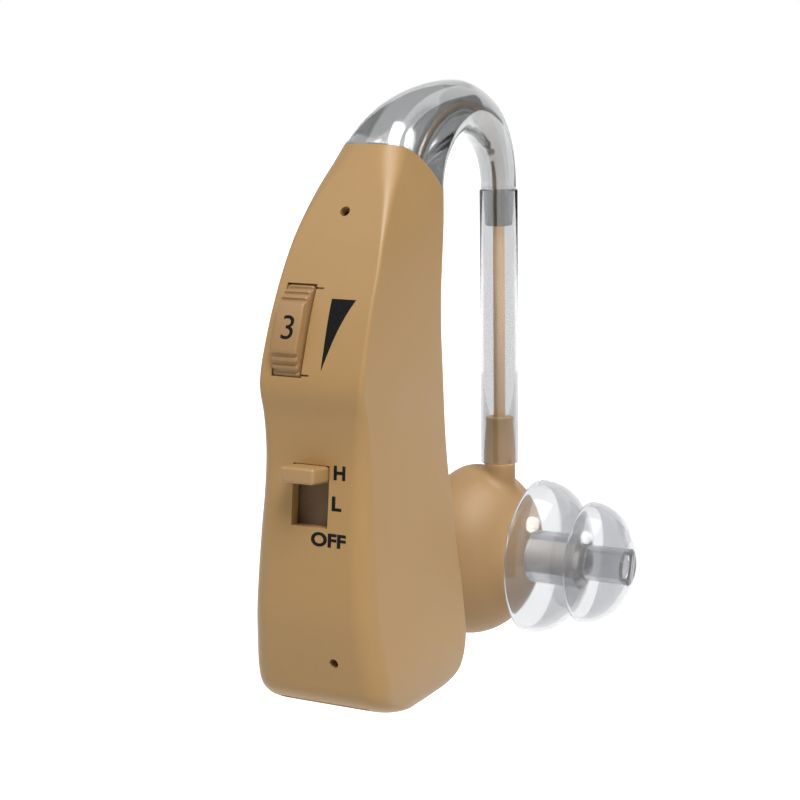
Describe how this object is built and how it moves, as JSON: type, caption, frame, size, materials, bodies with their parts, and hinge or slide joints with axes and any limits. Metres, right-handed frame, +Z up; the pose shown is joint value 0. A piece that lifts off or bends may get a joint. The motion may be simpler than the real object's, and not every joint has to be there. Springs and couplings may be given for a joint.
{
  "type": "behind the ear hearing aid",
  "caption": "Behind-the-ear hearing aid with volume dial, slide switch, hinged battery drawer, clear ear hook and tube, and a receiver with a flanged ear tip.",
  "frame": {"origin": "the crook of the hook, where the hook's underside lies on top of the ear", "axes": "+Z up along the case and the tube, -Y out of the control face, +X the side to which the ear tip points"},
  "size_m": [0.0184, 0.042, 0.0489],
  "materials": {
    "case_shell": "satin moulded plastic",
    "dial": "satin moulded plastic",
    "receiver_shell": "satin moulded plastic",
    "hook": "clear, polished",
    "tube": "clear, smooth",
    "silicone": "clear, soft",
    "lead": "smooth sheath",
    "steel": "bright",
    "contact": "plated",
    "cell_seal": "smooth",
    "board": "satin",
    "black_plastic": "satin",
    "capacitor": "satin",
    "black_rubber": "soft",
    "red_wire": "enamel",
    "track_body": "satin",
    "switch_floor": "dull",
    "film": "satin"
  },
  "bodies": {
    "case": {"main_case": "case_shell", "inner_cover": "case_shell", "cover_screws": "steel", "door_hinge_pin": "steel", "contact_positive": "contact", "contact_negative": "contact", "circuit_board": "board", "amplifier_chip": "black_plastic", "capacitors": "capacitor", "resistors": "black_plastic", "battery_wire": "black_plastic", "microphone_capsule": "steel", "microphone_boot": "black_rubber", "microphone_mesh": "steel", "microphone_wires": "red_wire", "volume_track_body": "track_body", "volume_pins": "steel", "switch_housing": "switch_floor", "switch_pads": "contact", "switch_pins": "steel", "ear_hook": "hook", "lead_in_hook": "lead", "lead_wires": "red_wire"},
    "battery_drawer": {"battery_door": "case_shell", "battery_can": "steel", "battery_seal": "cell_seal", "battery_cap": "steel"},
    "volume_dial": {"volume_wheel": "dial", "volume_shaft": "steel", "volume_wiper": "contact"},
    "switch_slider": {"switch_knob": "case_shell", "switch_slider_contact": "contact"},
    "ear_piece": {"clear_tube": "tube", "lead_in_tube": "lead", "receiver_housing": "receiver_shell", "receiver_back_cap": "receiver_shell", "receiver_frame": "black_plastic", "receiver_yoke": "steel", "receiver_magnet": "steel", "receiver_coil": "contact", "receiver_diaphragm": "film", "wax_filter": "film"},
    "soft_tip": {"ear_tip": "silicone"}
  },
  "joints": [
    {"name": "volume_turn", "type": "hinge", "parent": "case", "child": "volume_dial", "pos_m": [0, -0.0185, -0.01411], "axis": [1, 0, 0], "range_deg": [-144, 144]},
    {"name": "switch_slide", "type": "slide", "parent": "case", "child": "switch_slider", "axis": [0, -0.1185, -0.993], "range_m": [0, 0.0033]},
    {"name": "battery_door_swing", "type": "hinge", "parent": "case", "child": "battery_drawer", "pos_m": [0, -0.02095, -0.04016], "axis": [-1, 0, 0], "range_deg": [0, 75]},
    {"name": "ear_piece_swivel", "type": "hinge", "parent": "case", "child": "ear_piece", "pos_m": [0, 0.0091, -0.00503], "axis": [0, 0, 1], "range_deg": [-180, 180]},
    {"name": "ear_tip_pull", "type": "slide", "parent": "ear_piece", "child": "soft_tip", "axis": [1, 0, 0], "range_m": [0, 0.0048]}
  ]
}
